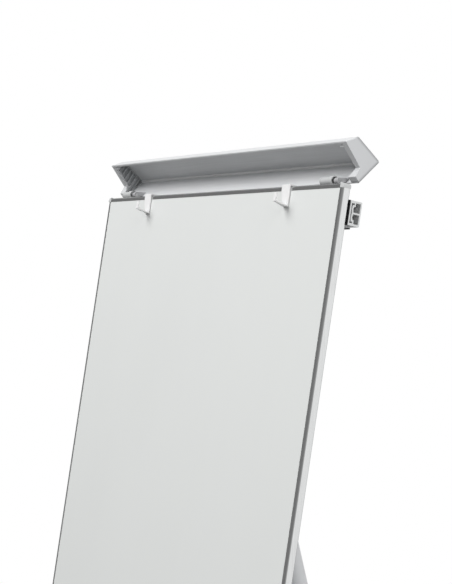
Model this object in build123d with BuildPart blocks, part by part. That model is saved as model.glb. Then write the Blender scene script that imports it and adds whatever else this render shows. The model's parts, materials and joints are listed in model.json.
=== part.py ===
"""Flipchart easel: a tilted magnetic board on a telescopic tripod, with a hinged paper clamp."""
import os
from math import cos, radians, sin, tan

from build123d import *

os.makedirs("parts", exist_ok=True)

# ---------------------------------------------------------------- driving dimensions, mm
TILT = 10.0                 # the board leans back from the vertical
TOP_HEIGHT = 1720.0         # height of the white face's top edge above the floor
FACE_WIDTH = 687.6
FACE_HEIGHT = 1000.0
HALF_FACE = FACE_WIDTH / 2

RAIL_LIP = 7.0              # the frame rail's width in front view
RAIL_DEPTH = 13.0
RAIL_PROUD = 0.4            # how far the rail's lip stands in front of the face
RAIL_ROUND = 3.2
RAIL_GROOVE = 3.0           # how far the board's edge goes into the rail
RAIL_FLANGE = 9.0           # the rear flange's reach over the board's back
HALF_WIDTH = HALF_FACE + RAIL_LIP
SHEET = 0.4
BOARD_THICKNESS = 11.0
CAP_PROUD = 0.6
CAP_ROUND = 6.0
CAP_RIM = 3.0               # the corner cap's raised rim along its outer end

HINGE_U, HINGE_B = 14.3, 15.9          # the clamp bar's axis, above and behind the face's top edge
BARREL_RADIUS = 6.0
BARREL_LENGTH = 20.0
BELL_RADIUS = 7.2
BELL_LENGTH = 10.0
KNUCKLE_RADIUS = 4.6
KNUCKLE_LENGTH = 9.0
HINGE_PIN_RADIUS = 2.8
RUNNING_FIT = 0.05
HINGE_STARTS = {"left": -323.0, "right": 276.0}
HINGE_SPAN = 42.0

CLAMP_HALF = 350.0
CLAMP_WALL = 1.8
CLAMP_ROUND = 3.0           # the profile's two outer bends
CLAMP_RIM = 2.4             # the end cap's rounded outer rim
NOSE_HEIGHT, NOSE_DEPTH = 4.2, 3.0     # the thick front edge of the profile's lip
RIDGE_BEAD = 1.6            # radius of the bead inside the ridge
BEAD_REACH = 1.0            # how far its middle stands in front of the ridge
CLAMP_PLATE = 2.0
CLAMP_BAND = 10.5           # the end cap's wall along the board side
CLAMP_TAIL = 18.0           # the end cap's wall beside the hinge
# (b, u) corners of the open clamp: front lip, top edge, back ridge, hinge edge, heel, notch
CLAMP_LIP, CLAMP_TOP, CLAMP_RIDGE = (-7.0, 64.6), (14.8, 76.0), (58.6, 48.6)
CLAMP_EDGE, CLAMP_HEEL, CLAMP_NOTCH = (27.5, 11.6), (19.2, 19.3), (24.9, 33.1)

HOOK_THICKNESS = 2.0
HOOK_WIDTH = 21.0
HOOK_RIGHT_EDGES = {"left": -196.0, "right": 221.0}

ARM_U = -33.0               # the extension arms' centre line
ARM_HEIGHT = 35.5
ARM_DEPTH = 20.2
ARM_LENGTH = 335.0
ARM_OVERHANG = 3.2          # how far a pushed-in arm stands out beside the frame
GUIDE_WALL = 1.8
GUIDE_LENGTH = 180.0
SLIDE_GAP = 0.3

LEG_X = 270.0
TUBE_RADIUS = 15.0
TUBE_WALL = 1.5
INNER_RADIUS = 13.0
INNER_WALL = 1.5
LEG_B = RAIL_DEPTH + 2.8 + TUBE_RADIUS
FRONT_TUBE_TOP = -75.0
FRONT_TUBE_LENGTH = 1055.0
REAR_TUBE_LENGTH = 900.0
REAR_SPLAY = 15.0           # the rear leg's angle from the vertical
REAR_PIVOT_U, REAR_PIVOT_B = -135.0, 60.0
LEG_OVERLAP = 230.0
COLLAR_RADIUS = 20.0
COLLAR_LENGTH = 50.0
COLLAR_BELOW = 20.0
FOOT_RADIUS = 17.0
FOOT_HEIGHT = 45.0
FOOT_SOLE = 12.0

TRAY_HALF = 300.0
TRAY_DEPTH = 60.0
TRAY_WALL = 2.0
TRAY_LIP = 19.0

# ---------------------------------------------------------------- directions and planes
LEAN, RISE = sin(radians(TILT)), cos(radians(TILT))
UP = Vector(0, LEAN, RISE)             # up along the board, the u direction
BACK = Vector(0, RISE, -LEAN)          # square to the board, away from its face, the b direction
REAR_UP = Vector(0, -sin(radians(REAR_SPLAY)), cos(radians(REAR_SPLAY)))

# the origin lies on the floor, midway between the front feet's toes and the rear foot's heel
rear_pivot_y = REAR_PIVOT_U * LEAN + REAR_PIVOT_B * RISE
rear_pivot_z = TOP_HEIGHT + REAR_PIVOT_U * RISE - REAR_PIVOT_B * LEAN
front_toe = LEG_B / RISE - TOP_HEIGHT * tan(radians(TILT)) - FOOT_RADIUS / RISE
rear_heel = rear_pivot_y + rear_pivot_z * tan(radians(REAR_SPLAY)) + FOOT_RADIUS / REAR_UP.Z
FACE_TOP = Vector(0, -(front_toe + rear_heel) / 2, TOP_HEIGHT)


def spot(x, u, b):
    """The point at x across, u up along the board and b behind its white face."""
    return FACE_TOP + Vector(x, 0, 0) + UP * u + BACK * b


def face_plane(b, x=0, u=0):
    """Parallel to the board: local x is across, y is up the board, extruding goes forwards."""
    return Plane(origin=spot(x, u, b), x_dir=(1, 0, 0), z_dir=BACK * -1)


def side_plane(x):
    """Square to the board's width: local x is b, y is u, extruding goes to the right."""
    return Plane(origin=spot(x, 0, 0), x_dir=BACK, z_dir=(1, 0, 0))


def section_plane(u, x=0, b=0):
    """Square to the board's height: local x is across, y is b, extruding goes up."""
    return Plane(origin=spot(x, u, b), x_dir=(1, 0, 0), z_dir=UP)


def outline(plane, points, corner=0.0):
    """A closed straight-sided sketch on a plane, with all its corners rounded alike."""
    with BuildSketch(plane) as shape:
        with BuildLine():
            Polyline(*points, close=True)
        make_face()
        if corner:
            fillet(shape.vertices(), corner)
    return shape.sketch


def rectangle(plane, x_low, x_high, y_low, y_high, corner=0.0):
    """A rectangle on a plane between its low and high sides."""
    corners = [(x_low, y_low), (x_high, y_low), (x_high, y_high), (x_low, y_high)]
    return outline(plane, corners, corner)


def disc(plane, radius, centre=(0, 0)):
    """A circle on a plane."""
    with BuildSketch(plane) as shape:
        with Locations(centre):
            Circle(radius)
    return shape.sketch


def inset(points, distance):
    """A closed outline moved inwards; its (b, u) points run clockwise."""
    corners = [Vector(*point) for point in points]
    moved = []
    for index, corner in enumerate(corners):
        arrive = (corner - corners[index - 1]).normalized()
        leave = (corners[(index + 1) % len(corners)] - corner).normalized()
        first, second = Vector(arrive.Y, -arrive.X), Vector(leave.Y, -leave.X)
        shift = (first + second) * (distance / (1 + first.dot(second)))
        moved.append(((corner + shift).X, (corner + shift).Y))
    return moved


def save(piece, name):
    """Name a finished piece and write its STEP file."""
    piece.part.label = name
    export_step(piece.part, f"parts/{name}.step")


# ---------------------------------------------------------------- board panel
EDGE_IN_RAIL = RAIL_GROOVE - 0.5
SHEET_LAYERS = {
    "writing_sheet": (0.0, SHEET),
    "board_core": (SHEET, BOARD_THICKNESS - SHEET),
    "back_sheet": (BOARD_THICKNESS - SHEET, BOARD_THICKNESS),
}
for layer, (front, rear) in SHEET_LAYERS.items():
    with BuildPart() as panel:
        edge = HALF_FACE + EDGE_IN_RAIL
        extrude(
            rectangle(face_plane(rear), -edge, edge, -FACE_HEIGHT - EDGE_IN_RAIL, EDGE_IN_RAIL),
            amount=rear - front,
        )
    save(panel, layer)


# ---------------------------------------------------------------- frame rails and corner caps
def rail_section(plane):
    """The rail's section: local x runs outwards from the white face's edge, y runs back."""
    round_start = RAIL_LIP - RAIL_ROUND
    rear_round = 1.5
    with BuildSketch(plane) as section:
        with BuildLine():
            Line((0, 0), (0, -RAIL_PROUD))
            Line((0, -RAIL_PROUD), (round_start, -RAIL_PROUD))
            RadiusArc((round_start, -RAIL_PROUD), (RAIL_LIP, RAIL_ROUND - RAIL_PROUD), -RAIL_ROUND)
            Line((RAIL_LIP, RAIL_ROUND - RAIL_PROUD), (RAIL_LIP, RAIL_DEPTH - rear_round))
            RadiusArc((RAIL_LIP, RAIL_DEPTH - rear_round), (RAIL_LIP - rear_round, RAIL_DEPTH), -rear_round)
            Line((RAIL_LIP - rear_round, RAIL_DEPTH), (-RAIL_FLANGE, RAIL_DEPTH))
            Line((-RAIL_FLANGE, RAIL_DEPTH), (-RAIL_FLANGE, BOARD_THICKNESS))
            Line((-RAIL_FLANGE, BOARD_THICKNESS), (RAIL_GROOVE, BOARD_THICKNESS))
            Line((RAIL_GROOVE, BOARD_THICKNESS), (RAIL_GROOVE, 0))
            Line((RAIL_GROOVE, 0), (0, 0))
        make_face()
    return section.sketch


RAILS = {
    "frame_rail_right": (spot(HALF_FACE, -FACE_HEIGHT, 0), Vector(1, 0, 0), FACE_HEIGHT),
    "frame_rail_left": (spot(-HALF_FACE, 0, 0), Vector(-1, 0, 0), FACE_HEIGHT),
    "frame_rail_top": (spot(HALF_FACE, 0, 0), UP, FACE_WIDTH),
    "frame_rail_bottom": (spot(-HALF_FACE, -FACE_HEIGHT, 0), UP * -1, FACE_WIDTH),
}
for rail_name, (corner_spot, outwards, length) in RAILS.items():
    along = outwards.cross(BACK)
    with BuildPart() as rail:
        extrude(rail_section(Plane(corner_spot, x_dir=outwards, z_dir=along)), amount=length)
        if rail_name in ("frame_rail_right", "frame_rail_left"):
            # the side rails' rear flanges stop where the top and bottom rails' flanges begin
            for u_low in (-FACE_HEIGHT, -RAIL_FLANGE):
                crossing = rectangle(
                    face_plane(RAIL_DEPTH), -HALF_FACE, HALF_FACE, u_low, u_low + RAIL_FLANGE
                )
                extrude(crossing, amount=RAIL_DEPTH - BOARD_THICKNESS, mode=Mode.SUBTRACT)
    save(rail, rail_name)

CORNERS = {
    "corner_cap_top_right": (1, 1),
    "corner_cap_top_left": (-1, 1),
    "corner_cap_bottom_right": (1, -1),
    "corner_cap_bottom_left": (-1, -1),
}
for cap_name, (x_sign, u_sign) in CORNERS.items():
    x_near, x_far = x_sign * HALF_FACE, x_sign * (HALF_WIDTH + CAP_PROUD)
    u_near = 0 if u_sign > 0 else -FACE_HEIGHT
    u_far = u_near + u_sign * (RAIL_LIP + CAP_PROUD)
    x_deep, u_deep = x_near + x_sign * RAIL_GROOVE, u_near + u_sign * RAIL_GROOVE
    block = sorted((x_near, x_far)) + sorted((u_near, u_far))
    pocket = sorted((x_near, x_deep)) + sorted((u_near, u_deep))
    u_rim = u_far - u_sign * CAP_RIM
    side_window = [
        (RAIL_ROUND, u_rim),
        (RAIL_ROUND, u_near - u_sign * RAIL_LIP),
        (RAIL_DEPTH + RAIL_LIP, u_near - u_sign * RAIL_LIP),
        (RAIL_DEPTH + RAIL_LIP, u_rim),
    ]
    with BuildPart() as cap:
        block_depth = RAIL_DEPTH + RAIL_PROUD + 2 * CAP_PROUD
        extrude(rectangle(face_plane(RAIL_DEPTH + CAP_PROUD), *block), amount=block_depth)
        outer = cap.edges().filter_by(Axis(spot(0, 0, 0), BACK))
        outer_edge = outer.sort_by_distance(spot(x_far, u_far, 0))[0]
        fillet(outer_edge, CAP_ROUND)
        front_edges = cap.faces().sort_by(Axis(spot(0, 0, 0), BACK))[0].edges()
        fillet(front_edges, 0.5)
        # inside its rim the outer side lies flush with the rail
        window = outline(side_plane(x_sign * HALF_WIDTH), side_window, corner=2.5)
        extrude(window, amount=2 * x_sign * CAP_PROUD, mode=Mode.SUBTRACT)
        # the board's corner sits in a pocket of the cap
        extrude(rectangle(face_plane(BOARD_THICKNESS), *pocket), amount=BOARD_THICKNESS, mode=Mode.SUBTRACT)
    save(cap, cap_name)

# ---------------------------------------------------------------- pen tray
TRAY_TOP = -FACE_HEIGHT - RAIL_LIP
TRAY_PROFILE = [
    (RAIL_DEPTH, TRAY_TOP),
    (-TRAY_DEPTH, TRAY_TOP),
    (-TRAY_DEPTH - 3.0, TRAY_TOP + TRAY_LIP),
    (-TRAY_DEPTH - 5.0, TRAY_TOP + TRAY_LIP),
    (-TRAY_DEPTH - 2.0, TRAY_TOP - TRAY_WALL),
    (RAIL_DEPTH, TRAY_TOP - TRAY_WALL),
]
with BuildPart() as pen_tray:
    extrude(outline(side_plane(-TRAY_HALF), TRAY_PROFILE), amount=2 * TRAY_HALF)
    # three long ribs keep a pen from lying flat on the floor of the tray
    for rib_b in (-46.0, -32.0, -18.0):
        rib = rectangle(side_plane(-TRAY_HALF), rib_b, rib_b + 1.5, TRAY_TOP - 0.2, TRAY_TOP + 1.0)
        extrude(rib, amount=2 * TRAY_HALF)
save(pen_tray, "pen_tray")

END_PROFILE = [
    (-RAIL_PROUD - 0.2, TRAY_TOP + 3.0),
    (-TRAY_DEPTH + 22.0, TRAY_TOP + TRAY_LIP),
    (-TRAY_DEPTH - 6.0, TRAY_TOP + TRAY_LIP + 1.0),
    (-TRAY_DEPTH - 3.0, TRAY_TOP - TRAY_WALL - 1.0),
    (-RAIL_PROUD - 0.2, TRAY_TOP - TRAY_WALL - 1.0),
]
for side, x_start in {"left": -TRAY_HALF - 4.0, "right": TRAY_HALF}.items():
    with BuildPart() as tray_end:
        extrude(outline(side_plane(x_start), END_PROFILE, corner=1.2), amount=4.0)
    save(tray_end, f"pen_tray_end_{side}")


def screw_head(centre, direction, head_radius=4.2, head_height=2.4):
    """A pan head with a cross recess, standing on a surface and facing along a direction."""
    seat = Plane(origin=centre, x_dir=(1, 0, 0), z_dir=direction)
    with BuildPart() as screw:
        extrude(disc(seat, head_radius), amount=head_height)
        fillet(screw.edges().group_by(Axis(centre, direction))[-1], head_height * 0.5)
        top = seat.offset(head_height)
        extrude(rectangle(top, -2.2, 2.2, -0.45, 0.45), amount=-1.4, mode=Mode.SUBTRACT)
        extrude(rectangle(top, -0.45, 0.45, -2.2, 2.2), amount=-1.4, mode=Mode.SUBTRACT)
    return screw.part


def save_screws(name, seats, direction):
    """Write one node of identical screws, one solid for each seat."""
    with BuildPart() as screws:
        for seat in seats:
            add(screw_head(seat, direction))
    save(screws, name)


save_screws(
    "pen_tray_screws",
    [spot(x, TRAY_TOP - TRAY_WALL, 7.0) for x in (-260, -90, 90, 260)],
    UP * -1,
)

# ---------------------------------------------------------------- clamp bar
CLAMP_OUTLINE = [CLAMP_LIP, CLAMP_TOP, CLAMP_RIDGE, CLAMP_EDGE, CLAMP_HEEL, CLAMP_NOTCH]
CLAMP_BEND = [CLAMP_LIP, CLAMP_TOP, CLAMP_RIDGE, CLAMP_EDGE]


def way(start, end):
    """The unit vector from one (b, u) point to another."""
    return (Vector(*end) - Vector(*start)).normalized()


LIP_WAY, EDGE_WAY = way(CLAMP_LIP, CLAMP_TOP), way(CLAMP_RIDGE, CLAMP_EDGE)
FRONT_WAY = way(CLAMP_LIP, CLAMP_NOTCH)


def clamp_channel(x, gap=0.0):
    """The profile's section: a lip with a thick nose, the upper flange, a bead and the lower flange."""
    wall = CLAMP_WALL + gap
    lip, edge = Vector(*CLAMP_LIP), Vector(*CLAMP_EDGE)
    lip_inner = lip + Vector(LIP_WAY.Y, -LIP_WAY.X) * wall
    edge_inner = edge + Vector(EDGE_WAY.Y, -EDGE_WAY.X) * wall
    inner = inset(CLAMP_BEND, wall)
    strip = CLAMP_BEND + [(edge_inner.X, edge_inner.Y), inner[2], inner[1], (lip_inner.X, lip_inner.Y)]
    nose_back, nose_low = LIP_WAY * (NOSE_DEPTH + gap), FRONT_WAY * (NOSE_HEIGHT + gap)
    nose = [lip, lip + nose_back, lip + nose_back + nose_low, lip + nose_low]
    with BuildSketch(side_plane(x)) as section:
        for points in (strip, [(point.X, point.Y) for point in nose]):
            with BuildLine():
                Polyline(*points, close=True)
            make_face()
        ridge_b, ridge_u = inner[2]
        with Locations((ridge_b - BEAD_REACH, ridge_u)):
            Circle(RIDGE_BEAD + gap)
    return section.sketch


def round_bends(piece):
    """Round the two outer bends of the clamp on an unfinished piece."""
    for b, u in (CLAMP_TOP, CLAMP_RIDGE):
        bend = piece.edges().filter_by(Axis.X).sort_by_distance(spot(0, u, b))[0]
        fillet(bend, CLAMP_ROUND)


with BuildPart() as clamp_profile:
    profile_half = CLAMP_HALF - CLAMP_PLATE
    extrude(clamp_channel(-profile_half), amount=2 * profile_half)
    round_bends(clamp_profile)
save(clamp_profile, "clamp_profile")

RIB_ANGLE, RIB_WIDTH = 62.0, 1.3
CAP_WALL = 1.6              # the cap's own wall inside the profile
TAB_LENGTH = 9.0
with BuildPart() as clamp_cap_right:
    cap_inner = CLAMP_HALF - CLAMP_BAND
    extrude(outline(side_plane(cap_inner), CLAMP_OUTLINE), amount=CLAMP_BAND)
    round_bends(clamp_cap_right)
    front_points = [CLAMP_LIP, CLAMP_NOTCH, CLAMP_HEEL, CLAMP_EDGE]
    front_middles = [
        (spot(CLAMP_HALF, u, b) + spot(CLAMP_HALF, next_u, next_b)) / 2
        for (b, u), (next_b, next_u) in zip(front_points, front_points[1:])
    ]
    plate_edges = clamp_cap_right.faces().sort_by(Axis.X)[-1].edges()
    rim = [edge for edge in plate_edges if min((edge @ 0.5 - m).length for m in front_middles) > 1.0]
    fillet(rim, CLAMP_RIM)
    pocket = CLAMP_BAND - CLAMP_PLATE
    hollow = inset(CLAMP_OUTLINE, CLAMP_WALL + CAP_WALL)
    extrude(outline(side_plane(cap_inner), hollow), amount=pocket, mode=Mode.SUBTRACT)
    # slanted ribs stiffen the cap's hollow
    with BuildSketch(side_plane(cap_inner + 1.5)) as ribs:
        with BuildLine():
            Polyline(*hollow, close=True)
        make_face()
        with BuildSketch(mode=Mode.INTERSECT):
            with Locations([(8.4 + 9.0 * step, 42.0) for step in range(-1, 5)]):
                Rectangle(80.0, RIB_WIDTH, rotation=RIB_ANGLE)
    extrude(amount=pocket - 1.5)
    # the tail beside the hinge: its floor, and the slanting wall up to the notch
    heel, notch = Vector(*CLAMP_HEEL), Vector(*CLAMP_NOTCH)
    inner_outline = inset(CLAMP_OUTLINE, CLAMP_WALL)
    tail_points = [CLAMP_EDGE, CLAMP_HEEL, inner_outline[4], inner_outline[3]]
    extrude(outline(side_plane(CLAMP_HALF - CLAMP_TAIL), tail_points), amount=CLAMP_TAIL - CLAMP_PLATE)
    wall_way = UP * (heel.Y - notch.Y) + BACK * (heel.X - notch.X)
    wall_length = wall_way.length
    wall_plane = Plane(
        origin=spot(CLAMP_HALF, CLAMP_NOTCH[1], CLAMP_NOTCH[0]),
        x_dir=(-1, 0, 0),
        z_dir=wall_way.normalized().cross(Vector(-1, 0, 0)),
    )
    wall_points = [
        (CLAMP_PLATE, 0),
        (CLAMP_BAND, 0),
        (CLAMP_TAIL, -wall_length),
        (CLAMP_PLATE, -wall_length),
    ]
    extrude(outline(wall_plane, wall_points), amount=CLAMP_WALL)
    # a tab under the nose holds the profile's lip
    tab_foot = Vector(*CLAMP_LIP) + FRONT_WAY * (NOSE_HEIGHT + 4.3)
    tab = rectangle(
        side_plane(cap_inner - TAB_LENGTH), tab_foot.X, tab_foot.X + 2.6, tab_foot.Y, tab_foot.Y + 3.6
    )
    extrude(tab, amount=TAB_LENGTH + 1.0)
    # the profile's end sits in a channel round the cap
    channel = clamp_channel(CLAMP_HALF - CLAMP_TAIL, gap=0.1)
    extrude(channel, amount=CLAMP_TAIL - CLAMP_PLATE, mode=Mode.SUBTRACT)
save(clamp_cap_right, "clamp_end_cap_right")

with BuildPart() as clamp_cap_left:
    add(mirror(clamp_cap_right.part, about=Plane.YZ, mode=Mode.PRIVATE))
save(clamp_cap_left, "clamp_end_cap_left")


# ---------------------------------------------------------------- clamp hinges
def hinge_plane(x):
    """Square to the hinge axis, centred on it: local x is b, y is u."""
    return Plane(origin=spot(x, HINGE_U, HINGE_B), x_dir=BACK, z_dir=(1, 0, 0))


PLATE_TOP, PLATE_BOTTOM, PLATE_THICKNESS = 10.0, -11.0, 3.0
RING_START, RING_LENGTH, RING_RADIUS = 22.5, 3.0, 4.4     # the pin's collar inside the bell
KNUCKLE_START = HINGE_SPAN - KNUCKLE_LENGTH
flange_foot = Vector(*CLAMP_EDGE) + Vector(EDGE_WAY.Y, -EDGE_WAY.X) * CLAMP_WALL
web_low, web_high = flange_foot - EDGE_WAY * 3.0, flange_foot - EDGE_WAY * 12.0
WEB_POINTS = [
    (HINGE_B, HINGE_U - KNUCKLE_RADIUS + 0.4),
    (web_low.X, web_low.Y),
    (web_high.X, web_high.Y),
    (HINGE_B, HINGE_U + KNUCKLE_RADIUS - 0.2),
]
for side, start in HINGE_STARTS.items():
    bell_start = start + BARREL_LENGTH
    barrel_end = bell_start + BELL_LENGTH
    with BuildPart() as hinge_bracket:
        plate = rectangle(
            face_plane(RAIL_DEPTH + PLATE_THICKNESS), start + 2, barrel_end - 2, PLATE_BOTTOM, PLATE_TOP
        )
        extrude(plate, amount=PLATE_THICKNESS)
        extrude(disc(hinge_plane(start), BARREL_RADIUS), amount=BARREL_LENGTH)
        extrude(disc(hinge_plane(bell_start), BELL_RADIUS), amount=BELL_LENGTH)
        bore_radius = HINGE_PIN_RADIUS + RUNNING_FIT
        extrude(disc(hinge_plane(start), bore_radius), amount=barrel_end - start, mode=Mode.SUBTRACT)
        mouth = disc(hinge_plane(bell_start + 1.0), BELL_RADIUS - 1.4)
        extrude(mouth, amount=BELL_LENGTH, mode=Mode.SUBTRACT)
    save(hinge_bracket, f"hinge_bracket_{side}")

    with BuildPart() as knuckle:
        knuckle_x = start + KNUCKLE_START
        extrude(disc(hinge_plane(knuckle_x), KNUCKLE_RADIUS), amount=KNUCKLE_LENGTH)
        extrude(outline(side_plane(knuckle_x), WEB_POINTS), amount=KNUCKLE_LENGTH)
        extrude(disc(hinge_plane(knuckle_x), HINGE_PIN_RADIUS), amount=KNUCKLE_LENGTH, mode=Mode.SUBTRACT)
    save(knuckle, f"hinge_knuckle_{side}")

    with BuildPart() as hinge_pin:
        extrude(disc(hinge_plane(start + 2.0), HINGE_PIN_RADIUS), amount=HINGE_SPAN - 2.0)
        extrude(disc(hinge_plane(start + RING_START), RING_RADIUS), amount=RING_LENGTH)
    save(hinge_pin, f"hinge_pin_{side}")

# ---------------------------------------------------------------- paper hooks
HOOK_TOP = RAIL_LIP + 0.2
HOOK_BACK = RAIL_DEPTH + SLIDE_GAP
HOOK_FRONT = -RAIL_PROUD - 0.2
HOOK_LOW = -24.3
HOOK_PROFILE = [
    (HOOK_BACK, -9.0),
    (HOOK_BACK + HOOK_THICKNESS, -9.0),
    (HOOK_BACK + HOOK_THICKNESS, HOOK_TOP + HOOK_THICKNESS),
    (HOOK_FRONT - HOOK_THICKNESS, HOOK_TOP + HOOK_THICKNESS),
    (HOOK_FRONT - HOOK_THICKNESS, -22.0),
    (-23.0, -18.3),
    (-22.5, -7.0),
    (-24.5, -7.0),
    (-25.1, -20.3),
    (HOOK_FRONT, HOOK_LOW),
    (HOOK_FRONT, HOOK_TOP),
    (HOOK_BACK, HOOK_TOP),
]
HOOK_LOW_WIDTH, HOOK_TIP_WIDTH = 13.0, 6.0
for side, right_edge in HOOK_RIGHT_EDGES.items():
    left_edge = right_edge - HOOK_WIDTH
    low_edge, tip_edge = right_edge - HOOK_LOW_WIDTH, right_edge - HOOK_TIP_WIDTH
    with BuildPart() as hook:
        extrude(outline(side_plane(left_edge), HOOK_PROFILE, corner=0.6), amount=HOOK_WIDTH)
        strip_taper = [
            (left_edge - 1, 0),
            (left_edge, 0),
            (low_edge, HOOK_LOW),
            (low_edge, -30),
            (left_edge - 1, -30),
        ]
        extrude(outline(face_plane(HOOK_FRONT + 0.5), strip_taper), amount=40, mode=Mode.SUBTRACT)
        lip_front = HOOK_FRONT - HOOK_THICKNESS
        lip_taper = [
            (left_edge - 1, lip_front),
            (low_edge, lip_front),
            (tip_edge, -22.0),
            (tip_edge, -30),
            (left_edge - 1, -30),
        ]
        extrude(outline(section_plane(-30), lip_taper), amount=28, mode=Mode.SUBTRACT)
    save(hook, f"paper_hook_{side}")

# ---------------------------------------------------------------- extension arms and their guides
GUIDE_FRONT = RAIL_DEPTH
ARM_FRONT = GUIDE_FRONT + GUIDE_WALL + SLIDE_GAP
ARM_BACK = ARM_FRONT + ARM_DEPTH
ARM_LOW, ARM_HIGH = ARM_U - ARM_HEIGHT / 2, ARM_U + ARM_HEIGHT / 2
ARM_OUTER = CLAMP_HALF + ARM_OVERHANG
GUIDE_MOUTH = CLAMP_HALF - 20.0        # the closed sleeve ends here, inside the frame's side
GLIDE_HEIGHT, GLIDE_DEPTH = 3.2, 8.5   # the grey ledge under the arm outside the sleeve


def arm_section(x):
    """The arm's extruded section: a slot behind the front wall and two rear chambers."""
    front, back = ARM_FRONT, ARM_BACK
    slot_front, slot_back, hook_back = front + 2.3, front + 4.4, front + 7.4
    wall_inner = back - 2.4
    with BuildSketch(side_plane(x)) as section:
        with BuildLine():
            Polyline(
                (front, ARM_LOW), (back, ARM_LOW), (back, ARM_HIGH), (front, ARM_HIGH), close=True
            )
        make_face()
        fillet(section.vertices(), 0.8)
        for sense in (-1, 1):
            slot = [
                (slot_front, 0),
                (slot_front, 14.2),
                (hook_back, 14.2),
                (hook_back, 11.8),
                (slot_back, 11.8),
                (slot_back - 0.7, 6.5),
                (slot_back, 0),
            ]
            chamber = [
                (hook_back - 0.6, 1.2),
                (hook_back - 1.4, 6.5),
                (hook_back + 0.2, 9.6),
                (hook_back + 2.0, 9.6),
                (hook_back + 2.0, 14.9),
                (wall_inner, 14.9),
                (wall_inner, 1.2),
            ]
            for hole in (slot, chamber):
                with BuildLine():
                    Polyline(*[(b, ARM_U + sense * u) for b, u in hole], close=True)
                make_face(mode=Mode.SUBTRACT)
    return section.sketch


with BuildPart() as arm_right:
    extrude(arm_section(ARM_OUTER - ARM_LENGTH), amount=ARM_LENGTH)
save(arm_right, "extension_arm_right")

with BuildPart() as arm_left:
    add(mirror(arm_right.part, about=Plane.YZ, mode=Mode.PRIVATE))
save(arm_left, "extension_arm_left")

guide_low, guide_high = ARM_LOW - SLIDE_GAP, ARM_HIGH + SLIDE_GAP
with BuildPart() as guide_right:
    sleeve_back = ARM_BACK + SLIDE_GAP + GUIDE_WALL
    sleeve_end = side_plane(GUIDE_MOUTH - GUIDE_LENGTH)
    sleeve = rectangle(
        sleeve_end, GUIDE_FRONT, sleeve_back, guide_low - GUIDE_WALL, guide_high + GUIDE_WALL
    )
    extrude(sleeve, amount=GUIDE_LENGTH)
    cavity = rectangle(
        sleeve_end, GUIDE_FRONT + GUIDE_WALL, sleeve_back - GUIDE_WALL, guide_low, guide_high
    )
    extrude(cavity, amount=GUIDE_LENGTH, mode=Mode.SUBTRACT)
    # outside the sleeve only the front wall runs on, to the arm's end
    tongue = rectangle(
        side_plane(GUIDE_MOUTH), GUIDE_FRONT, GUIDE_FRONT + GUIDE_WALL, guide_low, guide_high
    )
    extrude(tongue, amount=ARM_OUTER - GUIDE_MOUTH)
save(guide_right, "arm_guide_right")

with BuildPart() as glide_right:
    ledge = rectangle(
        side_plane(GUIDE_MOUTH), GUIDE_FRONT, GUIDE_FRONT + GLIDE_DEPTH, guide_low - GLIDE_HEIGHT, guide_low
    )
    extrude(ledge, amount=CLAMP_HALF + 1.0 - GUIDE_MOUTH)
    # a groove along the ledge's end and front
    groove_low = guide_low - GLIDE_HEIGHT / 2 - 0.4
    groove = rectangle(
        side_plane(CLAMP_HALF + 0.4), GUIDE_FRONT, GUIDE_FRONT + GLIDE_DEPTH, groove_low, groove_low + 0.6
    )
    extrude(groove, amount=0.6, mode=Mode.SUBTRACT)
save(glide_right, "arm_glide_right")

for name, right_piece in {"arm_guide_left": guide_right, "arm_glide_left": glide_right}.items():
    with BuildPart() as left_piece:
        add(mirror(right_piece.part, about=Plane.YZ, mode=Mode.PRIVATE))
    save(left_piece, name)

# ---------------------------------------------------------------- back of the board
BEAM_DEPTH = 20.0
BEAM_WALL = 1.5
BRACKET_HALF = 22.0
BRACKET_DEPTH = 36.0
BRACKET_LENGTH = 50.0
BEAMS = {"upper": (REAR_PIVOT_U, 40.0), "lower": (-935.0, 30.0)}
for level, (beam_u, beam_height) in BEAMS.items():
    with BuildPart() as beam:
        beam_half = LEG_X - BRACKET_HALF
        beam_back = RAIL_DEPTH + BEAM_DEPTH
        beam_low, beam_high = beam_u - beam_height / 2, beam_u + beam_height / 2
        beam_end = side_plane(-beam_half)
        outer_box = rectangle(beam_end, RAIL_DEPTH, beam_back, beam_low, beam_high, corner=1.5)
        inner_box = rectangle(
            beam_end,
            RAIL_DEPTH + BEAM_WALL,
            beam_back - BEAM_WALL,
            beam_low + BEAM_WALL,
            beam_high - BEAM_WALL,
        )
        extrude(outer_box, amount=2 * beam_half)
        extrude(inner_box, amount=2 * beam_half, mode=Mode.SUBTRACT)
    save(beam, f"{level}_crossbeam")

    with BuildPart() as brackets:
        for x in (-LEG_X, LEG_X):
            base = section_plane(beam_u - BRACKET_LENGTH / 2)
            block = rectangle(
                base, x - BRACKET_HALF, x + BRACKET_HALF, RAIL_DEPTH, RAIL_DEPTH + BRACKET_DEPTH
            )
            extrude(block, amount=BRACKET_LENGTH)
        fillet(brackets.faces().sort_by(Axis(spot(0, 0, 0), BACK))[-2:].edges(), 3.0)
        for x in (-LEG_X, LEG_X):
            bore = disc(section_plane(beam_u - BRACKET_LENGTH / 2), TUBE_RADIUS + 0.1, (x, LEG_B))
            extrude(bore, amount=BRACKET_LENGTH, mode=Mode.SUBTRACT)
    save(brackets, f"{level}_leg_brackets")

BACK_SCREWS = [
    spot(x, u, RAIL_DEPTH + BEAM_DEPTH)
    for u, _ in BEAMS.values()
    for x in (-220.0, -120.0, 120.0, 220.0)
]
save_screws("crossbeam_screws", BACK_SCREWS, BACK)
HINGE_SCREWS = [
    spot(start + (BARREL_LENGTH + BELL_LENGTH) / 2 + shift, -4.0, RAIL_DEPTH + PLATE_THICKNESS)
    for start in HINGE_STARTS.values()
    for shift in (-8.0, 8.0)
]
save_screws("hinge_screws", HINGE_SCREWS, BACK)

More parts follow.
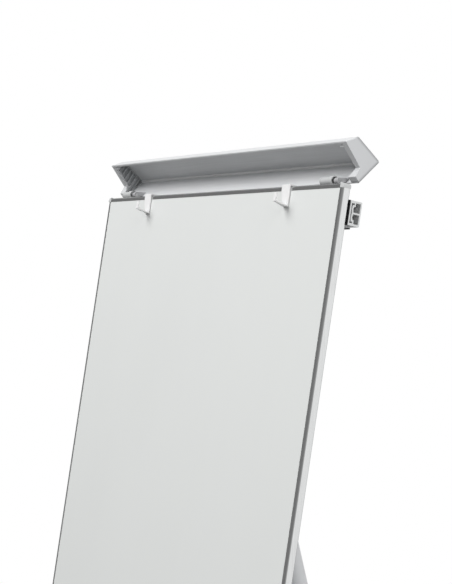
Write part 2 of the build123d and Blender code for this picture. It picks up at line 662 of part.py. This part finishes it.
# ---------------------------------------------------------------- rear leg hinge
EAR_GAP = 17.2
EAR_THICKNESS = 3.0
EAR_RADIUS = 11.0
REAR_PIN_RADIUS = 4.0
bracket_back = RAIL_DEPTH + BEAM_DEPTH
with BuildPart() as rear_bracket:
    base_half = EAR_GAP + EAR_THICKNESS
    base = rectangle(
        face_plane(bracket_back + 3.0),
        -base_half - 24.0,
        base_half + 24.0,
        REAR_PIVOT_U - 18.0,
        REAR_PIVOT_U + 18.0,
        corner=3.0,
    )
    extrude(base, amount=3.0)
    for ear_x in (-base_half, EAR_GAP):
        ear_low, ear_high = REAR_PIVOT_U - EAR_RADIUS, REAR_PIVOT_U + EAR_RADIUS
        ear_base = rectangle(side_plane(ear_x), bracket_back, REAR_PIVOT_B, ear_low, ear_high)
        extrude(ear_base, amount=EAR_THICKNESS)
        extrude(disc(side_plane(ear_x), EAR_RADIUS, (REAR_PIVOT_B, REAR_PIVOT_U)), amount=EAR_THICKNESS)
    pin_hole = disc(side_plane(-base_half), REAR_PIN_RADIUS, (REAR_PIVOT_B, REAR_PIVOT_U))
    extrude(pin_hole, amount=2 * base_half, mode=Mode.SUBTRACT)
save(rear_bracket, "rear_leg_bracket")
save_screws(
    "rear_bracket_screws",
    [spot(x, u, bracket_back + 3.0) for x in (-33.0, 33.0) for u in (REAR_PIVOT_U - 9, REAR_PIVOT_U + 9)],
    BACK,
)

with BuildPart() as rear_pin:
    pivot = (REAR_PIVOT_B, REAR_PIVOT_U)
    extrude(disc(side_plane(-base_half), REAR_PIN_RADIUS, pivot), amount=2 * base_half)
    for head_x in (-base_half - 3.0, base_half):
        extrude(disc(side_plane(head_x), REAR_PIN_RADIUS + 2.5, pivot), amount=3.0)
save(rear_pin, "rear_leg_pin")


# ---------------------------------------------------------------- legs
def down_leg(top, up, distance):
    """Square to a leg, this far down from the top of its tube: local x across, y backwards."""
    return Plane(origin=top - up * distance, x_dir=(1, 0, 0), z_dir=up)


def behind_leg(top, up, distance, out):
    """Facing backwards from a leg, this far down it and this far behind its axis."""
    back = Vector(0, up.Z, -up.Y)
    return Plane(origin=top - up * distance + back * out, x_dir=(1, 0, 0), z_dir=back)


rear_pivot_point = spot(0, REAR_PIVOT_U, REAR_PIVOT_B)
HEAD_DROP = 35.0
LEGS = {
    "left": (spot(-LEG_X, FRONT_TUBE_TOP, LEG_B), UP, FRONT_TUBE_LENGTH),
    "right": (spot(LEG_X, FRONT_TUBE_TOP, LEG_B), UP, FRONT_TUBE_LENGTH),
    "rear": (rear_pivot_point - REAR_UP * HEAD_DROP, REAR_UP, REAR_TUBE_LENGTH),
}
KNOB_DROP = 10.0            # the clamp screw's distance below the outer tube's end
BOSS_RADIUS, BOSS_BACK = 9.0, 29.0
KNOB_GAP, KNOB_HEIGHT, KNOB_RADIUS, LOBE_RADIUS = 0.6, 13.0, 12.5, 5.0
STUD_RADIUS = 3.0
for side, (top, up, tube_length) in LEGS.items():
    floor = top.Z / up.Z
    with BuildPart() as tube:
        extrude(disc(down_leg(top, up, tube_length), TUBE_RADIUS), amount=tube_length)
        bore = disc(down_leg(top, up, tube_length), TUBE_RADIUS - TUBE_WALL)
        extrude(bore, amount=tube_length, mode=Mode.SUBTRACT)
    save(tube, f"{side}_leg_outer_tube")

    inner_top = tube_length - LEG_OVERLAP
    inner_length = floor - FOOT_SOLE - inner_top
    with BuildPart() as inner:
        inner_end = down_leg(top, up, floor - FOOT_SOLE)
        extrude(disc(inner_end, INNER_RADIUS), amount=inner_length)
        extrude(disc(inner_end, INNER_RADIUS - INNER_WALL), amount=inner_length, mode=Mode.SUBTRACT)
    save(inner, f"{side}_leg_inner_tube")

    with BuildPart() as foot:
        extrude(disc(down_leg(top, up, floor + FOOT_RADIUS), FOOT_RADIUS), amount=FOOT_HEIGHT + FOOT_RADIUS)
        fillet(foot.edges().group_by(Axis(top, up))[-1], 2.0)
        socket = disc(down_leg(top, up, floor - FOOT_SOLE), INNER_RADIUS)
        extrude(socket, amount=FOOT_HEIGHT, mode=Mode.SUBTRACT)
        split(bisect_by=Plane.XY, keep=Keep.TOP)
    save(foot, f"{side}_leg_foot")

    collar_end = tube_length + COLLAR_BELOW
    knob_down = tube_length + KNOB_DROP
    with BuildPart() as collar:
        extrude(disc(down_leg(top, up, collar_end), COLLAR_RADIUS), amount=COLLAR_LENGTH)
        fillet(collar.edges().filter_by(GeomType.CIRCLE), 2.0)
        boss = disc(behind_leg(top, up, knob_down, INNER_RADIUS + 3.0), BOSS_RADIUS)
        extrude(boss, amount=BOSS_BACK - INNER_RADIUS - 3.0)
        tube_seat = disc(down_leg(top, up, tube_length), TUBE_RADIUS + 0.1)
        extrude(tube_seat, amount=COLLAR_LENGTH, mode=Mode.SUBTRACT)
        inner_pass = disc(down_leg(top, up, collar_end), INNER_RADIUS + SLIDE_GAP)
        extrude(inner_pass, amount=COLLAR_LENGTH, mode=Mode.SUBTRACT)
        stud_hole = disc(behind_leg(top, up, knob_down, INNER_RADIUS - 1), STUD_RADIUS + SLIDE_GAP)
        extrude(stud_hole, amount=BOSS_BACK, mode=Mode.SUBTRACT)
    save(collar, f"{side}_leg_collar")

    with BuildPart() as knob:
        knob_base = behind_leg(top, up, knob_down, BOSS_BACK + KNOB_GAP)
        with BuildSketch(knob_base):
            Circle(KNOB_RADIUS)
            with PolarLocations(KNOB_RADIUS, 6):
                Circle(LOBE_RADIUS)
        extrude(amount=KNOB_HEIGHT)
        fillet(knob.faces().sort_by(Axis(knob_base.origin, knob_base.z_dir))[-1].edges(), 1.2)
        stud_tip = INNER_RADIUS + 0.6
        stud = disc(behind_leg(top, up, knob_down, stud_tip), STUD_RADIUS)
        extrude(stud, amount=BOSS_BACK + KNOB_GAP - stud_tip)
    save(knob, f"{side}_leg_knob")

with BuildPart() as plugs:
    for side in ("left", "right"):
        plug_top, plug_up, _ = LEGS[side]
        extrude(disc(down_leg(plug_top, plug_up, 0), TUBE_RADIUS), amount=4.0)
        extrude(disc(down_leg(plug_top, plug_up, 16.0), TUBE_RADIUS - TUBE_WALL - 0.1), amount=16.0)
    fillet(plugs.edges().group_by(Axis(spot(0, 0, 0), UP))[-1], 2.0)
save(plugs, "front_tube_plugs")

HEAD_HALF = EAR_GAP - 0.2
HEAD_RADIUS = 10.0
with BuildPart() as rear_head:
    rear_top = LEGS["rear"][0]
    head_plane = Plane(
        origin=rear_pivot_point - Vector(HEAD_HALF, 0, 0),
        x_dir=Vector(0, REAR_UP.Z, -REAR_UP.Y),
        z_dir=(1, 0, 0),
    )
    extrude(disc(head_plane, HEAD_RADIUS), amount=2 * HEAD_HALF)
    neck = rectangle(head_plane, -HEAD_RADIUS, HEAD_RADIUS, -HEAD_DROP + 10, 0)
    extrude(neck, amount=2 * HEAD_HALF)
    extrude(disc(down_leg(rear_top, REAR_UP, 0), TUBE_RADIUS), amount=HEAD_DROP - 20)
    plug = disc(down_leg(rear_top, REAR_UP, 40.0), TUBE_RADIUS - TUBE_WALL - 0.1)
    extrude(plug, amount=40.0)
    extrude(disc(head_plane, REAR_PIN_RADIUS + RUNNING_FIT), amount=2 * HEAD_HALF, mode=Mode.SUBTRACT)
save(rear_head, "rear_leg_head")
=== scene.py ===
"""Looks for the flipchart easel: materials, rounded edges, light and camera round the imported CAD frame."""
import json
import math

import bmesh
import bpy
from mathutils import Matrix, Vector

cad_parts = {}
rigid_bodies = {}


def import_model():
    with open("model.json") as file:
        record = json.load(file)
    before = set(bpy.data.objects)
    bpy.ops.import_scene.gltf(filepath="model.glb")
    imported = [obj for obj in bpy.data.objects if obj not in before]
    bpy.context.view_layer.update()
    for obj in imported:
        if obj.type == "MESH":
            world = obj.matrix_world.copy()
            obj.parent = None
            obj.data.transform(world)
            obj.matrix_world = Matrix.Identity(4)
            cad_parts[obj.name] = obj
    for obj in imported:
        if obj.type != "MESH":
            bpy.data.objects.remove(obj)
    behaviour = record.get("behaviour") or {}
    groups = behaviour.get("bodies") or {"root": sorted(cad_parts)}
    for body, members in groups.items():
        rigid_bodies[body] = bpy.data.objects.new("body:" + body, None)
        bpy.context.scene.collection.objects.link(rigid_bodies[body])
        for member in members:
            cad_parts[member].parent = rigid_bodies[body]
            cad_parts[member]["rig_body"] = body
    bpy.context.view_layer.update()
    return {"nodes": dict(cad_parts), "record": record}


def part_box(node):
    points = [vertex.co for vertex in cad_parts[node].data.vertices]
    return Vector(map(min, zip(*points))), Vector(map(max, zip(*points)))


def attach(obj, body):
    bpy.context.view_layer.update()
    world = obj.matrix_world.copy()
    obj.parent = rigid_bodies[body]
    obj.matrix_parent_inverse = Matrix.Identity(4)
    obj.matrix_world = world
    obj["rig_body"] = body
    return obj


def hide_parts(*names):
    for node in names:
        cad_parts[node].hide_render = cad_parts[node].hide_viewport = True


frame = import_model()
nodes = frame["nodes"]

# ---------------------------------------------------------------- the board's own directions
TILT = math.radians(10.0)
UP = Vector((0.0, math.sin(TILT), math.cos(TILT)))        # up along the board
BACK = Vector((0.0, math.cos(TILT), -math.sin(TILT)))     # away from its face
SHEET_IN_RAIL = 0.0025      # how far the sheet goes into the top rail
SHEET_THICKNESS = 0.0004
sheet_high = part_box("writing_sheet")[1]
sheet_edge = Vector((0.0, sheet_high.y - SHEET_THICKNESS * math.cos(TILT), sheet_high.z))
FACE_TOP = sheet_edge - UP * SHEET_IN_RAIL


def spot(x, u, b):
    """The point x across, u up along the board and b behind its white face, in metres."""
    return FACE_TOP + Vector((x, 0, 0)) + UP * u + BACK * b


def direction(right, up):
    """The way that points so many degrees right of the front and so many up."""
    right, up = math.radians(right), math.radians(up)
    return Vector((math.sin(right) * math.cos(up), -math.cos(right) * math.cos(up), math.sin(up)))


# ---------------------------------------------------------------- camera
CAMERA_PLACE = FACE_TOP + Vector((2.1327, -1.3173, -0.0979))
CAMERA_SIDE = 57.8          # degrees right of the front that it looks from
CAMERA_DIP = 4.57           # degrees down that it looks
LENS = 96.1                 # millimetres, on a frame SENSOR_WIDTH wide
SENSOR_WIDTH = 36.0
LENS_SHIFT = 0.1536
CLIP_END = 50.0


def make_camera():
    """The camera stands to the right of the board, about at the height of its top edge."""
    data = bpy.data.cameras.new("camera")
    data.sensor_width = SENSOR_WIDTH
    data.lens = LENS
    data.shift_y = LENS_SHIFT
    data.clip_end = CLIP_END
    camera = bpy.data.objects.new("camera", data)
    camera.location = CAMERA_PLACE
    camera.rotation_euler = (-direction(CAMERA_SIDE, CAMERA_DIP)).to_track_quat("-Z", "Y").to_euler()
    bpy.context.scene.collection.objects.link(camera)
    bpy.context.scene.camera = camera


# ---------------------------------------------------------------- light and floor
# how bright the studio is all round, then its bright patches: degrees right of the front, degrees up,
# radius where full, radius where gone, and brightness
STUDIO_BASE = 0.15
STUDIO_PATCHES = {
    "front_softbox": (-5, 48, 5, 55, 0.15),
    "right_wall": (70, 0, 10, 50, 0.2),
    "right_floor": (125, -15, 10, 50, 0.7),
    "back_softbox": (150, 45, 10, 60, 0.3),
    "left_floor": (-60, -20, 10, 50, 0.05),
    "back_left": (-130, 30, 10, 60, 0.4),
    "ground": (0, -90, 10, 60, 0.5),
}
# the soft lamps: degrees right of the front, degrees up, metres away, side in metres, and watts
LAMPS = {
    "key": (-20, 48, 5.5, 3.4, 300.0),
    "side": (80, 25, 4.0, 2.5, 72.0),
    "rear": (200, 20, 4.0, 2.5, 90.0),
}
LAMP_TARGET = spot(0, -0.4, 0)
FLOOR_RADIUS = 3.0
FLOOR_DROP = 0.0005         # how far the floor lies under the feet
WHITE = (1, 1, 1, 1)


def make_world():
    """A studio of soft bright patches; what the camera sees of it is plain white."""
    world = bpy.data.worlds.new("studio")
    bpy.context.scene.world = world
    world.use_nodes = True
    tree = world.node_tree
    tree.nodes.clear()

    def node(kind, *values, operation=None):
        """A node whose first sockets are set in turn, or joined where the value is a socket."""
        made = tree.nodes.new(kind)
        if operation:
            made.operation = operation
        for socket, value in zip(made.inputs, values):
            if isinstance(value, bpy.types.NodeSocket):
                tree.links.new(value, socket)
            else:
                socket.default_value = value
        return made

    ray = node("ShaderNodeTexCoord").outputs["Generated"]
    total = STUDIO_BASE
    for name, (right, up, full, gone, brightness) in STUDIO_PATCHES.items():
        toward = node("ShaderNodeVectorMath", ray, direction(right, up), operation="DOT_PRODUCT")
        edges = math.cos(math.radians(gone)), math.cos(math.radians(full))
        patch = node("ShaderNodeMapRange", toward.outputs["Value"], *edges, 0.0, brightness)
        patch.interpolation_type = "SMOOTHSTEP"
        patch.name = name
        total = node("ShaderNodeMath", patch.outputs[0], total).outputs[0]
    lit = node("ShaderNodeBackground", WHITE, total)
    seen = node("ShaderNodeBackground", WHITE, 1.0)
    is_seen = node("ShaderNodeLightPath").outputs["Is Camera Ray"]
    mix = node("ShaderNodeMixShader", is_seen, lit.outputs[0], seen.outputs[0])
    node("ShaderNodeOutputWorld", mix.outputs[0])


def make_lamps():
    """Square soft lights that face the upper half of the board."""
    for name, (right, up, away, side, power) in LAMPS.items():
        data = bpy.data.lights.new(name, "AREA")
        data.shape = "SQUARE"
        data.size = side
        data.energy = power
        lamp = bpy.data.objects.new(name, data)
        lamp.location = LAMP_TARGET + direction(right, up) * away
        lamp.rotation_euler = (-direction(right, up)).to_track_quat("-Z", "Y").to_euler()
        lamp.visible_glossy = False
        bpy.context.scene.collection.objects.link(lamp)


def make_floor():
    """A plain pale round floor."""
    mesh = bpy.data.meshes.new("floor")
    shape = bmesh.new()
    bmesh.ops.create_circle(shape, cap_ends=True, radius=FLOOR_RADIUS, segments=96)
    shape.to_mesh(mesh)
    shape.free()
    floor = bpy.data.objects.new("floor", mesh)
    floor.location.z = -FLOOR_DROP
    floor.visible_diffuse = False
    floor.visible_glossy = False
    bpy.context.scene.collection.objects.link(floor)
    mesh.materials.append(floor_material())


# ---------------------------------------------------------------- materials
ACROSS, HIGH = 0, 2         # the axes that extrusions run along
PAINTED_SHADE_BAND = 0.006           # how wide the band of painted shade along a cap's back edges is
HIGHLIGHT_RADIUS = 0.0022        # the painted highlight's reach round the bead's middle line
BEAD_DEPTH = 0.0022         # how far that line lies in front of the clamp's rearmost points
# the near-white colour painted along the clamp's bead line as a highlight
PAINTED_HIGHLIGHT_COLOR = (0.98, 0.98, 0.98)


class Paint:
    """A material under construction: its tree, its shader and short ways to add nodes."""

    def __init__(self, name, color, roughness, metallic=0.0, specular=0.5, coat=0.0):
        self.material = bpy.data.materials.new(name)
        self.material.use_nodes = True
        self.tree = self.material.node_tree
        self.shader = self.tree.nodes["Principled BSDF"]
        self.shader.inputs["Base Color"].default_value = (*color, 1)
        self.shader.inputs["Roughness"].default_value = roughness
        self.shader.inputs["Metallic"].default_value = metallic
        self.shader.inputs["Specular IOR Level"].default_value = specular
        self.shader.inputs["Coat Weight"].default_value = coat
        self.color, self.roughness = color, roughness
        self.place = self.tree.nodes.new("ShaderNodeTexCoord").outputs["Object"]

    def node(self, kind, **inputs):
        """A node whose named sockets are set, or joined when the value is another socket."""
        made = self.tree.nodes.new(kind)
        for name, value in inputs.items():
            socket = made.inputs[name.replace("_", " ")]
            if isinstance(value, bpy.types.NodeSocket):
                self.tree.links.new(value, socket)
            else:
                socket.default_value = value
        return made

    def stretched(self, scale):
        """The place on the object, scaled along its axes."""
        mapping = self.node("ShaderNodeMapping", Vector=self.place, Scale=scale)
        return mapping.outputs[0]

    def noise(self, scale, detail=4.0, stretch=(1, 1, 1), roughness=0.55):
        """A noise field on the object, drawn out along the small stretch values."""
        place = self.stretched(stretch)
        made = self.node("ShaderNodeTexNoise", Vector=place, Scale=scale, Detail=detail, Roughness=roughness)
        return made.outputs["Fac"]

    def spread(self, value, low, high, floor=0.2, top=0.8):
        """A value between floor and top moved to run smoothly from low to high."""
        made = self.node("ShaderNodeMapRange", Value=value)
        made.interpolation_type = "SMOOTHSTEP"
        for name, number in (("From Min", floor), ("From Max", top), ("To Min", low), ("To Max", high)):
            made.inputs[name].default_value = number
        return made.outputs[0]

    def blend(self, factor, first, second):
        """A colour between two colours."""
        made = self.tree.nodes.new("ShaderNodeMix")
        made.data_type = "RGBA"
        self.tree.links.new(factor, made.inputs["Factor"])
        for socket, value in ((made.inputs[6], first), (made.inputs[7], second)):
            if isinstance(value, bpy.types.NodeSocket):
                self.tree.links.new(value, socket)
            else:
                socket.default_value = (*value, 1)
        return made.outputs[2]

    def set(self, name, value):
        """Join a socket of the shader."""
        self.tree.links.new(value, self.shader.inputs[name])

    def varied(self, field, amount):
        """The base colour, a little lighter and darker as a field says."""
        darker = tuple(channel * (1 - amount) for channel in self.color)
        lighter = tuple(min(1.0, channel * (1 + amount)) for channel in self.color)
        return self.blend(self.spread(field, 0, 1), darker, lighter)

    def vary_color(self, field, amount):
        """Let a field lighten and darken the base colour a little."""
        self.set("Base Color", self.varied(field, amount))

    def vary_roughness(self, field, amount):
        """Let a field change the roughness a little."""
        self.set("Roughness", self.spread(field, self.roughness - amount, self.roughness + amount))

    def bump(self, field, depth, strength=1.0):
        """Raise the surface by a field; the depth is in metres."""
        made = self.node("ShaderNodeBump", Height=field, Distance=depth, Strength=strength)
        self.set("Normal", made.outputs[0])


def floor_material():
    """Pale matt floor with the faintest mottling."""
    paint = Paint("floor_pale", (0.80, 0.80, 0.80), 0.75)
    paint.vary_color(paint.noise(3.0), 0.01)
    return paint.material


def enamel_material():
    """White enamelled steel: a slow orange-peel wave, wiping marks and faint uneven gloss."""
    paint = Paint("white_enamel", (0.74, 0.755, 0.745), 0.32, coat=0.15)
    wiped = paint.noise(5.0, detail=6.0, stretch=(1.0, 0.35, 0.35))
    paint.vary_color(wiped, 0.012)
    paint.vary_roughness(paint.noise(14.0, detail=5.0, stretch=(0.4, 1.0, 1.0)), 0.05)
    paint.bump(paint.noise(420.0, detail=2.0), 0.00002, 0.35)
    return paint.material


def anodised_material(name, color, roughness, along, metallic=0.85, highlight_line=None):
    """Satin anodised aluminium with fine extrusion lines along one axis, and a painted highlight along one
    line.
    """
    paint = Paint(name, color, roughness, metallic=metallic)
    stretch = tuple(0.01 if axis == along else 1.0 for axis in range(3))
    lines = paint.noise(900.0, detail=3.0, stretch=stretch, roughness=0.6)
    if highlight_line:
        satin = paint.varied(lines, 0.05)
        across = tuple(0.0 if axis == along else 1.0 for axis in range(3))
        away = paint.node("ShaderNodeVectorMath", Vector=paint.stretched(across))
        away.operation = "DISTANCE"
        away.inputs[1].default_value = highlight_line
        # painted highlight: the base colour turns near-white round the bead's line
        painted_highlight = paint.spread(away.outputs["Value"], 1, 0, HIGHLIGHT_RADIUS * 0.8, HIGHLIGHT_RADIUS)
        paint.set("Base Color", paint.blend(painted_highlight, satin, PAINTED_HIGHLIGHT_COLOR))
    else:
        paint.vary_color(lines, 0.05)
    paint.vary_roughness(paint.noise(60.0, detail=4.0), 0.05)
    paint.bump(lines, 0.00002, 0.25)
    return paint.material


def plastic_material(name, color, roughness, depth=0.00006, specular=0.5):
    """Moulded plastic with a fine spark-eroded grain and slight colour drift."""
    paint = Paint(name, color, roughness, specular=specular)
    grained = paint.noise(700.0, detail=3.0)
    paint.vary_color(paint.noise(25.0, detail=4.0), 0.03)
    paint.vary_roughness(grained, 0.08)
    paint.bump(grained, depth, 0.4)
    return paint.material


def back_walls():
    """The clamp's two rear walls, each as its normal and how far along the normal it lies."""
    faces = [face for face in nodes["clamp_profile"].data.polygons if face.normal.dot(BACK) > 0.2]
    first = max(faces, key=lambda face: face.area)
    second = max((face for face in faces if face.normal.dot(first.normal) < 0.8), key=lambda face: face.area)
    return [(face.normal.copy(), face.normal.dot(face.center)) for face in (first, second)]


def shaded_cap_material(name, color, roughness):
    """Moulded plastic with painted shade along the clamp's back walls, where the colour falls to half."""
    paint = Paint(name, color, roughness)
    grained = paint.noise(700.0, detail=3.0)
    shade_bands = []
    for normal, reach in back_walls():
        toward = paint.node("ShaderNodeVectorMath", Vector=paint.stretched((1, 1, 1)))
        toward.operation = "DOT_PRODUCT"
        toward.inputs[1].default_value = normal
        shade_bands.append(paint.spread(toward.outputs["Value"], 0, 1, reach - PAINTED_SHADE_BAND, reach))
    back = paint.node("ShaderNodeMath", Value=shade_bands[0])
    back.operation = "MAXIMUM"
    paint.tree.links.new(shade_bands[1], back.inputs[1])
    drift = paint.spread(paint.noise(25.0, detail=4.0), 0, 1)
    unshaded = paint.blend(drift, tuple(channel * 0.97 for channel in color), color)
    # painted shade: the base colour falls to half along the clamp's back walls
    paint.set("Base Color", paint.blend(back.outputs[0], unshaded, tuple(channel * 0.5 for channel in color)))
    paint.vary_roughness(grained, 0.05)
    paint.bump(grained, 0.00003, 0.3)
    return paint.material


def powder_material(name, color):
    """Powder-coated steel: orange peel and a satin sheen."""
    paint = Paint(name, color, 0.42)
    peel = paint.noise(380.0, detail=2.0)
    paint.vary_color(paint.noise(12.0), 0.02)
    paint.vary_roughness(paint.noise(45.0), 0.06)
    paint.bump(peel, 0.00008, 0.3)
    return paint.material


def zinc_material(name, color, metallic=0.95):
    """Zinc-plated steel with cloudy spangle."""
    paint = Paint(name, color, 0.35, metallic=metallic)
    cloud = paint.noise(160.0, detail=5.0)
    paint.vary_color(cloud, 0.12)
    paint.vary_roughness(cloud, 0.1)
    paint.bump(paint.noise(800.0), 0.00003, 0.3)
    return paint.material


def rubber_material():
    """Dull black rubber with a dusty bloom."""
    paint = Paint("black_rubber", (0.022, 0.022, 0.023), 0.75)
    dust = paint.noise(70.0, detail=6.0)
    dusty = paint.spread(dust, 0, 1, 0.5, 0.8)
    paint.set("Base Color", paint.blend(dusty, paint.color, (0.07, 0.068, 0.065)))
    paint.vary_roughness(dust, 0.1)
    paint.bump(paint.noise(500.0), 0.0001, 0.5)
    return paint.material


def cardboard_material():
    """The raw edge of the board's paper honeycomb."""
    paint = Paint("honeycomb_core", (0.45, 0.34, 0.2), 0.9)
    fibres = paint.noise(300.0, detail=6.0)
    paint.vary_color(fibres, 0.15)
    paint.vary_roughness(fibres, 0.05)
    paint.bump(fibres, 0.0002, 0.5)
    return paint.material


rearmost = max((vertex.co for vertex in nodes["clamp_profile"].data.vertices), key=BACK.dot)
bead_line = Vector((0.0, rearmost.y, rearmost.z)) - BACK * BEAD_DEPTH
MATERIALS = {
    "white_enamel": enamel_material(),
    "honeycomb_core": cardboard_material(),
    "zinc_sheet": zinc_material("zinc_sheet", (0.55, 0.56, 0.57), metallic=0.5),
    "light_aluminium": anodised_material("light_aluminium", (0.82, 0.83, 0.83), 0.22, HIGH, metallic=1.0),
    "light_plastic": plastic_material("light_plastic", (0.57, 0.58, 0.58), 0.45),
    "zinc_steel": zinc_material("zinc_steel", (0.6, 0.6, 0.6)),
    "clamp_aluminium": anodised_material(
        "clamp_aluminium", (0.75, 0.76, 0.77), 0.42, ACROSS, metallic=0.2, highlight_line=bead_line
    ),
    "grey_plastic": shaded_cap_material("grey_plastic", (0.62, 0.63, 0.64), 0.5),
    "light_metal_paint": powder_material("light_metal_paint", (0.51, 0.52, 0.52)),
    "turned_aluminium": anodised_material("turned_aluminium", (0.52, 0.52, 0.53), 0.5, ACROSS, metallic=0.3),
    "white_plastic": plastic_material("white_plastic", (0.79, 0.79, 0.79), 0.35, depth=0.00002),
    "arm_aluminium": anodised_material("arm_aluminium", (0.74, 0.75, 0.75), 0.42, ACROSS, metallic=0.4),
    "black_plastic": plastic_material("black_plastic", (0.01, 0.01, 0.011), 0.55, specular=0.15),
    "leg_paint": powder_material("leg_paint", (0.62, 0.63, 0.64)),
    "inner_aluminium": anodised_material("inner_aluminium", (0.62, 0.63, 0.64), 0.35, HIGH),
    "black_rubber": rubber_material(),
}
slot_of = {part["node"]: part["material_slot"] for part in frame["record"]["subparts"]}
for name, node in nodes.items():
    node.data.materials.clear()
    node.data.materials.append(MATERIALS[slot_of[name]])


# ---------------------------------------------------------------- softened edges
# Faces with openings in them are cut into convex parts first, so the rounding doesn't fold them over.
HOLLOW_FACED = (
    "extension_arm", "arm_guide", "lower_leg_brackets", "upper_leg_brackets", "lower_crossbeam",
    "upper_crossbeam", "rear_leg_bracket", "rear_leg_head", "clamp_profile",
)
SAME_PLACE = 2e-6           # vertices closer than this are one
FLAT = math.radians(0.6)    # faces that meet at less than this are one face
SHARP = math.radians(32.0)  # edges that turn more than this are rounded
ROUND_STEPS = 2


def soften(name, width):
    """Stand a copy of a CAD node in its place, with its sharp edges rounded."""
    node = nodes[name]
    shape = bmesh.new()
    shape.from_mesh(node.data)
    bmesh.ops.remove_doubles(shape, verts=shape.verts, dist=SAME_PLACE)
    bmesh.ops.dissolve_limit(shape, angle_limit=FLAT, verts=shape.verts, edges=shape.edges, delimit=set())
    if name.startswith(HOLLOW_FACED):
        bmesh.ops.connect_verts_concave(shape, faces=shape.faces)
    mesh = bpy.data.meshes.new(f"{name}_soft")
    shape.to_mesh(mesh)
    shape.free()
    mesh.shade_smooth()
    piece = bpy.data.objects.new(f"{name}_soft", mesh)
    bpy.context.scene.collection.objects.link(piece)
    bevel = piece.modifiers.new("rounded", "BEVEL")
    bevel.width = width
    bevel.segments = ROUND_STEPS
    bevel.limit_method = "ANGLE"
    bevel.angle_limit = SHARP
    bevel.use_clamp_overlap = True
    bevel.miter_outer = "MITER_ARC"
    normals = piece.modifiers.new("normals", "WEIGHTED_NORMAL")
    normals.keep_sharp = True
    rounded = bpy.data.meshes.new_from_object(piece.evaluated_get(bpy.context.evaluated_depsgraph_get()))
    piece.modifiers.clear()
    piece.data = rounded
    rounded.materials.clear()
    rounded.materials.append(MATERIALS[slot_of[name]])
    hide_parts(name)
    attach(piece, node["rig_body"])


# how wide the rounding is on the pieces whose names start so
EDGE_WIDTHS = {
    "paper_hook": 0.0005,
    "extension_arm": 0.0003,
    "arm_guide": 0.0005,
    "hinge_bracket": 0.0004,
    "hinge_knuckle": 0.0004,
    "pen_tray": 0.0004,
    "lower_leg_brackets": 0.0008,
    "upper_leg_brackets": 0.0008,
    "upper_crossbeam": 0.0005,
    "lower_crossbeam": 0.0005,
    "rear_leg_bracket": 0.0006,
    "rear_leg_head": 0.0008,
    "clamp_profile": 0.0003,
    "clamp_end_cap": 0.0004,
    "arm_glide": 0.0003,
}
for name in sorted(nodes):
    for start, width in EDGE_WIDTHS.items():
        if name.startswith(start) and "screws" not in name:
            soften(name, width)

make_camera()
make_world()
make_lamps()
make_floor()
bpy.context.scene.view_settings.view_transform = "Standard"
